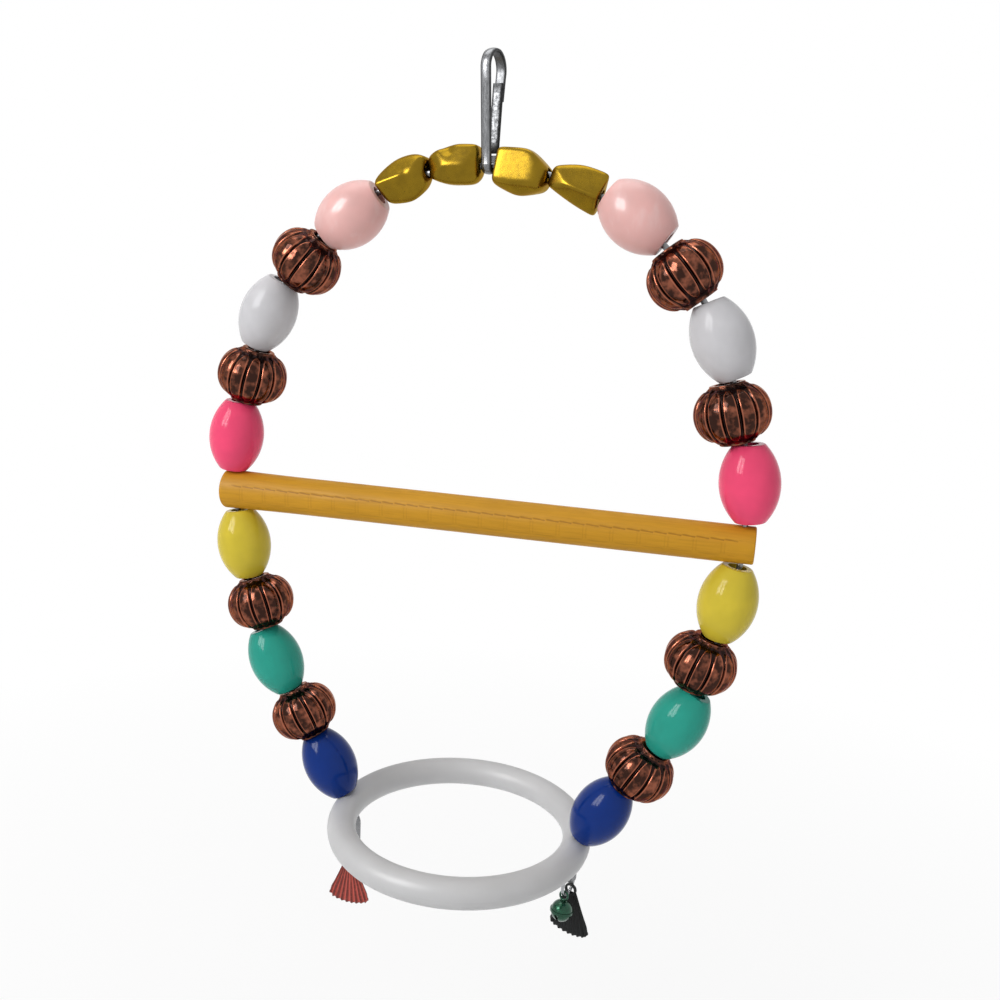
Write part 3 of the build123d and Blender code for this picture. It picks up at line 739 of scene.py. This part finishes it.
def pebble(facets, dent, front):
    """A bored pebble on the Z axis with X up; its front faces +Y or -Y as given."""
    shape = bmesh.new()
    sweep = (pi - 2 * NUGGET_MOUTH) / NUGGET_LONG_STEPS
    turns = [NUGGET_MOUTH + sweep * step for step in range(NUGGET_LONG_STEPS + 1)]
    wall = [shape.verts.new((sin(turn) * MM, 0.0, -cos(turn) * MM)) for turn in turns]
    bore = [shape.verts.new((NUGGET_BORE_R, 0.0, end * NUGGET_BORE_HALF)) for end in (1, -1)]
    ring = wall + bore
    for number, corner in enumerate(ring):
        shape.edges.new((ring[number - 1], corner))
    bmesh.ops.spin(
        shape, geom=shape.verts[:] + shape.edges[:], cent=(0.0, 0.0, 0.0), axis=(0.0, 0.0, 1.0),
        angle=2 * pi, steps=NUGGET_ROUND_STEPS, use_merge=True,
    )
    for vert in shape.verts:
        if vert.co.length < 2 * MM:
            way = vert.co.normalized()
            vert.co = way * pebble_reach(Vector((way.z, way.x, way.y * front)), facets, dent)
    return shape


class OBJECT_OT_swing_nuggets(bpy.types.Operator):
    """Shape the four gold nuggets"""

    bl_idname = "object.swing_nuggets"
    bl_label = "Gold nuggets"

    def execute(self, context):
        plating = gold_finish("gold_plating_satin", context.scene.bird_swing.colours.gold)
        for node, facets in NUGGETS.items():
            front = 1.0 if node.startswith("right") else -1.0
            shape = pebble(facets + NUGGET_BACK, DENTS.get(node), front)
            settle(shape, f"{node}_pebble", plating, node, bead_place(node))
        return {"FINISHED"}


# Perch

PERCH_ROUND_STEPS = 128
PERCH_LONG_STEPS = 600
PERCH_CROWDING = 0.35
PERCH_EDGE = 0.45 * MM
BAND_TOP = radians(23.0)
BAND_FOOT = radians(-24.0)
LINE_WIDTH = 0.24 * MM
LINE_SLANT = 0.3 * MM
LOWER_SAG = 0.25 * MM
LOWER_SHARE = 0.4
TICK_SPACE = 0.8 * MM
TICK_SHARE = 0.34
PLAIN_END = 2 * MM
PATTERN_FULL = 6 * MM


def line_press(distance):
    """Depth share of a pressed line at a distance from its middle."""
    return max(1 - (distance / LINE_WIDTH) ** 2, 0.0)


def stitched(run, turn, radius, pitch):
    """Depth share of the pressed pattern at a run along the perch and a turn from its front."""
    rise = turn * radius
    top, foot = BAND_TOP * radius, BAND_FOOT * radius
    cell = run / pitch
    share = cell - floor(cell)
    half = 2 * cell - floor(2 * cell)
    upper = line_press(rise - top - LINE_SLANT * (0.5 - half)) * smooth_step(0.0, 0.12, half)
    lower = LOWER_SHARE * line_press(rise - foot + LOWER_SAG * sin(pi * share))
    lower *= smooth_step(0.04, 0.2, share) * smooth_step(0.0, 0.16, 1 - share)
    within = smooth_step(foot - 0.2 * MM, foot + 0.4 * MM, rise)
    within *= smooth_step(0.4 * MM - top, 0.9 * MM - top, -rise)
    from_joint = min(share, 1 - share) * pitch
    ticks = TICK_SHARE * line_press(from_joint - TICK_SPACE / 2) * within
    return max(upper, lower, ticks)


def perch_radius(run, sizes, reach):
    """Radius of the perch at a run from its left end: a long taper and a flare."""
    taper = (sizes.left_width - sizes.perch_width) / 2 / (reach - sizes.flare_length)
    into = sizes.flare_length - run
    if into < 0:
        return sizes.left_width / 2 + taper * into
    flare = (sizes.flare_width - sizes.left_width) / 2 - taper * sizes.flare_length
    return sizes.left_width / 2 + taper * into + flare * (into / sizes.flare_length) ** 2


class OBJECT_OT_swing_perch(bpy.types.Operator):
    """Turn the perch and press its pattern"""

    bl_idname = "object.swing_perch"
    bl_label = "Perch"

    def execute(self, context):
        settings = context.scene.bird_swing
        sizes, colours = settings.sizes, settings.colours
        low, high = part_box("perch")
        left, right = low[0], high[0]
        middle_z = (low[2] + high[2]) / 2
        shape = bmesh.new()
        bmesh.ops.create_cone(
            shape, cap_ends=True, segments=PERCH_ROUND_STEPS, radius1=sizes.perch_width / 2,
            radius2=sizes.perch_width / 2, depth=right - left,
        )
        rims = [edge for edge in shape.edges if abs(edge.verts[0].co.z - edge.verts[1].co.z) < MM]
        bmesh.ops.bevel(
            shape, geom=rims, offset=PERCH_EDGE, segments=4, profile=0.5, affect="EDGES", material=-1
        )
        lengthwise = [edge for edge in shape.edges if abs(edge.verts[0].co.z - edge.verts[1].co.z) > 10 * MM]
        bmesh.ops.subdivide_edges(shape, edges=lengthwise, cuts=PERCH_LONG_STEPS, use_grid_fill=True)
        lay = Matrix.Translation(((left + right) / 2, 0.0, middle_z)) @ Matrix.Rotation(pi / 2, 4, "Y")
        bmesh.ops.transform(shape, matrix=lay, verts=shape.verts)
        pressed = shape.verts.layers.float.new("pressed")
        for vert in shape.verts:
            run, y, z = vert.co.x - left, vert.co.y, vert.co.z - middle_z
            radius = hypot(y, z)
            round_turn = atan2(z, -y)
            round_turn -= PERCH_CROWDING * sin(2 * round_turn)
            turn = atan2(sin(round_turn), abs(cos(round_turn)))
            ends = smooth_step(PLAIN_END, PATTERN_FULL, run)
            ends *= smooth_step(PLAIN_END, PATTERN_FULL, right - left - run)
            wide = perch_radius(run, sizes, right - left)
            press = stitched(run, turn, wide, sizes.stitch_pitch) * ends
            if radius < sizes.perch_width / 4:
                press = 0.0
            vert[pressed] = press
            radius *= (wide - sizes.stitch_depth * press) / (sizes.perch_width / 2)
            vert.co.y = -radius * cos(round_turn)
            vert.co.z = middle_z + radius * sin(round_turn)
        stain = perch_finish("perch_stain", colours.perch, colours.perch_dark)
        settle(shape, "perch_bar", stain, "perch")
        return {"FINISHED"}


# Charms

FAN_ACROSS_STEPS = 8
FAN_DOWN_STEPS = 34
FAN_NECK_W = 3.4 * MM
FAN_W = 14.2 * MM
FAN_DROP = 14.0 * MM
FAN_HOLE_R = 1.2 * MM
FAN_HOLE_STEPS = 40
FAN_TOP = FAN_HOLE_R * 0.6
FAN_RIM = 0.6 * MM
FAN_TAB = ((0.0, -0.6), (1.0, -0.6), (1.0, 0.6), (0.0, 0.6))
FAN_PLEAT_RISE = 0.3 * MM
FAN_NECK_SHARE = 0.25
FAN_PULL = 0.11
FAN_CORNER = 0.05


def fan_place(node):
    """Place of a fan made with its hole at the origin, its pleats across X and its drop down -Z."""
    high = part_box(node)[1]
    swing = JOINTS[f"{node}_swing"]
    back = Vector(swing["axis"])
    hole = Vector(swing["pos_m"])
    hole.z = high[2] - FAN_HOLE_R - FAN_RIM
    turned = Matrix((back.cross(UP), back, UP)).transposed()
    return Matrix.Translation(hole) @ turned.to_4x4()


class OBJECT_OT_swing_fans(bpy.types.Operator):
    """Pleat the two fans"""

    bl_idname = "object.swing_fans"
    bl_label = "Fans"

    def execute(self, context):
        settings = context.scene.bird_swing
        sizes, colours = settings.sizes, settings.colours
        enamels = {
            "right_fan": ("fan_charcoal", enamel_finish("fan_charcoal_enamel", colours.fan_charcoal)),
            "left_fan": ("fan_red", enamel_finish("fan_red_enamel", colours.fan_red)),
        }
        for node, (slot, enamel) in enamels.items():
            shape = bmesh.new()
            bmesh.ops.create_grid(
                shape, x_segments=sizes.pleats * FAN_ACROSS_STEPS, y_segments=FAN_DOWN_STEPS, size=1.0
            )
            fold_shade = shape.verts.layers.float.new("fold_shade")
            for vert in shape.verts:
                across, down = vert.co.x, (1 - vert.co.y) / 2
                drop = FAN_TOP + (FAN_DROP - FAN_TOP) * down
                half_w = (FAN_NECK_W + (FAN_W - FAN_NECK_W) * down) / 2
                pull = FAN_PULL * smooth_step(0.6, 1.0, abs(across)) * smooth_step(0.7, 1.0, down)
                x = across * half_w * (1 - pull)
                edge = sqrt(max(FAN_DROP**2 - x**2, 0.0)) / FAN_DROP
                corner = 1 - FAN_CORNER * smooth_step(0.8, 1.0, abs(across)) * smooth_step(0.8, 1.0, down)
                wave = cos(pi * sizes.pleats * (across + 1))
                rise = FAN_PLEAT_RISE * (FAN_NECK_SHARE + (1 - FAN_NECK_SHARE) * down)
                vert.co = (x, rise * wave, -drop * (1 + (edge - 1) * down) * corner)
                # Share of painted shade on each pleat, on opposite pleats for the two fans.
                vert[fold_shade] = (1 + wave) / 2 if node == "left_fan" else (1 - wave) / 2
            bmesh.ops.solidify(shape, geom=shape.faces[:], thickness=sizes.fan_thickness)
            bmesh.ops.translate(shape, verts=shape.verts, vec=(0.0, sizes.fan_thickness / 2, 0.0))
            tab = [
                shape.verts.new((FAN_HOLE_R + FAN_RIM * x, sizes.fan_thickness * y, 0.0))
                for x, y in FAN_TAB
            ]
            sides = [shape.edges.new((tab[i], tab[i - 1])) for i in range(len(tab))]
            bmesh.ops.spin(
                shape, geom=tab + sides, cent=(0.0, 0.0, 0.0), axis=(0.0, 1.0, 0.0),
                angle=2 * pi, steps=FAN_HOLE_STEPS, use_merge=True,
            )
            settle(shape, f"{node}_pleats", enamel, node, fan_place(node))
        return {"FINISHED"}


class OBJECT_OT_swing_bells(bpy.types.Operator):
    """Finish the bells, their pellets and the jump rings"""

    bl_idname = "object.swing_bells"
    bl_label = "Bells and jump rings"

    def execute(self, context):
        colours = context.scene.bird_swing.colours
        plating = bright_finish("jump_ring_plating", colours.bright, 0.16)
        dress("right_bell", lacquer_finish("bell_green_lacquer", colours.bell_green))
        dress("left_bell", bright_finish("bell_silver_plating", colours.bright, 0.22))
        for side in SIDES:
            dress(f"{side}_jump_ring", plating)
            dress(f"{side}_bell_pellet", plating)
        return {"FINISHED"}


class OBJECT_OT_swing_barrels(bpy.types.Operator):
    """Finish the barrel beads"""

    bl_idname = "object.swing_barrels"
    bl_label = "Barrel beads"

    def execute(self, context):
        colours = context.scene.bird_swing.colours
        for name in ("white", "pink", "yellow", "green", "blue"):
            gloss = gloss_finish(f"bead_{name}_gloss", getattr(colours, name))
            for side in SIDES:
                dress(f"{side}_{name}_bead", gloss)
        pearl = pearl_finish("pearl_pink_lustre", colours.pearl)
        for side in SIDES:
            dress(f"{side}_pearl_bead", pearl)
        return {"FINISHED"}


class OBJECT_OT_swing_hoop(bpy.types.Operator):
    """Finish the wire and the ring"""

    bl_idname = "object.swing_hoop"
    bl_label = "Wire and ring"

    def execute(self, context):
        colours = context.scene.bird_swing.colours
        dress("wire_hoop", bright_finish("wire_drawn_steel", colours.wire, 0.3))
        dress("ring", ring_finish("ring_satin_plastic", colours.ring))
        return {"FINISHED"}


# Stage

WINDOW_PLACE = Vector((-0.42, -0.52, 0.3))
PANES = ((-1, 1), (1, 1), (-1, -1), (1, -1))
PANE_STEP = (0.09, 0.125)
PANE_SIZE = (0.15, 0.21)
FILL_PLACE = Vector((0.6, -0.45, 0.05))
FILL_SIZE = (0.5, 0.5)
TOP_PLACE = Vector((-0.1, 0.15, 0.6))
TOP_SIZE = (0.6, 0.4)
FLOOR_STEPS = 96
SHADOW_REACH = 0.1
WHITE_NEAR = 0.85
SENSOR_WIDTH = 36.0


def add_lamp(name, power, size, place, target, mirrored=True, lighting=True):
    """A soft oblong lamp aimed at a point; shiny pieces may mirror it, and it may light matt ones."""
    lamp = bpy.data.lights.new(name, "AREA")
    lamp.shape = "RECTANGLE"
    lamp.size, lamp.size_y = size
    lamp.energy = power
    holder = bpy.data.objects.new(name, lamp)
    bpy.context.scene.collection.objects.link(holder)
    holder.location = place
    holder.rotation_euler = (target - place).to_track_quat("-Z", "Y").to_euler()
    holder.visible_glossy = mirrored
    holder.visible_diffuse = lighting


class OBJECT_OT_swing_stage(bpy.types.Operator):
    """Set the floor, the light and the camera"""

    bl_idname = "object.swing_stage"
    bl_label = "Stage"

    def execute(self, context):
        scene = context.scene
        settings = scene.bird_swing
        stage = settings.stage
        scene.view_settings.view_transform = "Standard"
        self.light_sky(scene, stage)
        self.lay_floor(scene, settings)
        target = Vector((0.0, 0.0, -stage.camera_drop))
        across = (WINDOW_PLACE - target).cross(UP).normalized()
        key, shine = stage.key_power / len(PANES), stage.shine_power / len(PANES)
        for number, (column, row) in enumerate(PANES, start=1):
            pane = WINDOW_PLACE + across * (PANE_STEP[0] * column) + UP * (PANE_STEP[1] * row)
            add_lamp(f"window_pane_{number}", key, PANE_SIZE, pane, target)
            add_lamp(f"window_shine_{number}", shine, PANE_SIZE, pane, target, lighting=False)
        add_lamp("fill_light", stage.fill_power, FILL_SIZE, FILL_PLACE, target, mirrored=False)
        add_lamp("top_light", stage.top_power, TOP_SIZE, TOP_PLACE, target)
        self.set_camera(scene, stage)
        return {"FINISHED"}

    def light_sky(self, scene, stage):
        world = bpy.data.worlds.new("studio")
        scene.world = world
        world.use_nodes = True
        tree = world.node_tree
        tree.nodes.clear()
        path = tree.nodes.new("ShaderNodeLightPath")
        seen = path.outputs["Is Camera Ray"]
        for kind in ("Is Glossy Ray", "Is Transmission Ray"):
            either = tree.nodes.new("ShaderNodeMath")
            either.operation = "MAXIMUM"
            tree.links.new(seen, either.inputs[0])
            tree.links.new(path.outputs[kind], either.inputs[1])
            seen = either.outputs[0]
        strength = tree.nodes.new("ShaderNodeMapRange")
        tree.links.new(seen, strength.inputs["Value"])
        strength.inputs["To Min"].default_value = stage.sky
        strength.inputs["To Max"].default_value = 1.0
        background = tree.nodes.new("ShaderNodeBackground")
        background.inputs["Color"].default_value = (1.0, 1.0, 1.0, 1.0)
        tree.links.new(strength.outputs["Result"], background.inputs["Strength"])
        output = tree.nodes.new("ShaderNodeOutputWorld")
        tree.links.new(background.outputs[0], output.inputs["Surface"])

    def lay_floor(self, scene, settings):
        """A pale floor that keeps the shadow near the swing and turns plain white further out."""
        stage = settings.stage
        shape = bmesh.new()
        bmesh.ops.create_circle(shape, cap_ends=True, segments=FLOOR_STEPS, radius=stage.floor_radius)
        bmesh.ops.translate(shape, verts=shape.verts, vec=(0.0, 0.0, -stage.floor_drop))
        mesh = bpy.data.meshes.new("floor")
        shape.to_mesh(mesh)
        shape.free()
        finish = Finish("floor_paint")
        tree = finish.tree
        speck = finish.noise(40.0, detail=2.0)
        pale = settings.colours.floor
        finish.surface(Base_Color=finish.mix(speck, shade(pale, 0.99), pale), Roughness=0.9)
        glow = finish.add("ShaderNodeEmission", Color=(1.0, 1.0, 1.0), Strength=1.0)
        where = finish.add("ShaderNodeTexCoord").outputs["Object"]
        split = finish.add("ShaderNodeSeparateXYZ", Vector=where)
        spread = finish.add("ShaderNodeCombineXYZ", X=split.outputs["X"], Y=split.outputs["Y"])
        distance = finish.add("ShaderNodeVectorMath", {"operation": "LENGTH"}, Vector=spread.outputs[0])
        far = finish.band(distance.outputs["Value"], SHADOW_REACH, stage.floor_radius * 0.5)
        path = finish.add("ShaderNodeLightPath")
        seen = finish.math("MAXIMUM", path.outputs["Is Camera Ray"], path.outputs["Is Glossy Ray"])
        white = finish.band(far, 0.0, 1.0, WHITE_NEAR, 1.0)
        blend = finish.add("ShaderNodeMixShader", Fac=finish.math("MULTIPLY", white, seen))
        tree.links.new(finish.shader.outputs[0], blend.inputs[1])
        tree.links.new(glow.outputs[0], blend.inputs[2])
        output = next(node for node in tree.nodes if node.type == "OUTPUT_MATERIAL")
        tree.links.new(blend.outputs[0], output.inputs["Surface"])
        mesh.materials.append(finish.material)
        floor_piece = bpy.data.objects.new("floor", mesh)
        scene.collection.objects.link(floor_piece)

    def set_camera(self, scene, stage):
        turn, rise, roll = stage.camera_azimuth, stage.camera_elevation, stage.camera_roll
        back = Vector((sin(turn) * cos(rise), -cos(turn) * cos(rise), sin(rise)))
        level = Vector((cos(turn), sin(turn), 0.0))
        upright = back.cross(level)
        right = level * cos(roll) + upright * sin(roll)
        top = upright * cos(roll) - level * sin(roll)
        lens = bpy.data.cameras.new("camera")
        lens.sensor_width = SENSOR_WIDTH
        lens.lens = stage.lens
        lens.shift_x, lens.shift_y = stage.shift_x, stage.shift_y
        lens.clip_start = 0.01
        camera = bpy.data.objects.new("camera", lens)
        scene.collection.objects.link(camera)
        seat = Vector((0.0, 0.0, -stage.camera_drop)) + back * stage.camera_reach
        camera.matrix_world = Matrix.Translation(seat) @ Matrix((right, top, back)).transposed().to_4x4()
        scene.camera = camera


OPERATORS = (
    OBJECT_OT_swing_stage, OBJECT_OT_swing_clip, OBJECT_OT_swing_hoop, OBJECT_OT_swing_nuggets,
    OBJECT_OT_swing_barrels, OBJECT_OT_swing_ribbed, OBJECT_OT_swing_perch, OBJECT_OT_swing_fans,
    OBJECT_OT_swing_bells,
)


class VIEW3D_PT_bird_swing(bpy.types.Panel):
    """Buttons and settings of the bird swing"""

    bl_idname = "VIEW3D_PT_bird_swing"
    bl_label = "Bird Swing"
    bl_space_type = "VIEW_3D"
    bl_region_type = "UI"
    bl_category = "Bird Swing"

    def draw(self, context):
        settings = context.scene.bird_swing
        for operator in OPERATORS:
            self.layout.operator(operator.bl_idname)
        for group in (settings.sizes, settings.colours, settings.stage):
            box = self.layout.box()
            for name in group.bl_rna.properties.keys():
                if name not in {"rna_type", "name"}:
                    box.prop(group, name)


CLASSES = (SwingSizes, SwingColours, SwingStage, SwingSettings, *OPERATORS, VIEW3D_PT_bird_swing)


def register():
    for cls in CLASSES:
        bpy.utils.register_class(cls)
    bpy.types.Scene.bird_swing = PointerProperty(type=SwingSettings)


def unregister():
    del bpy.types.Scene.bird_swing
    for cls in reversed(CLASSES):
        bpy.utils.unregister_class(cls)


def main():
    register()
    bpy.ops.object.swing_stage()
    bpy.ops.object.swing_clip()
    bpy.ops.object.swing_hoop()
    bpy.ops.object.swing_nuggets()
    bpy.ops.object.swing_barrels()
    bpy.ops.object.swing_ribbed()
    bpy.ops.object.swing_perch()
    bpy.ops.object.swing_fans()
    bpy.ops.object.swing_bells()


if __name__ == "__main__":
    main()
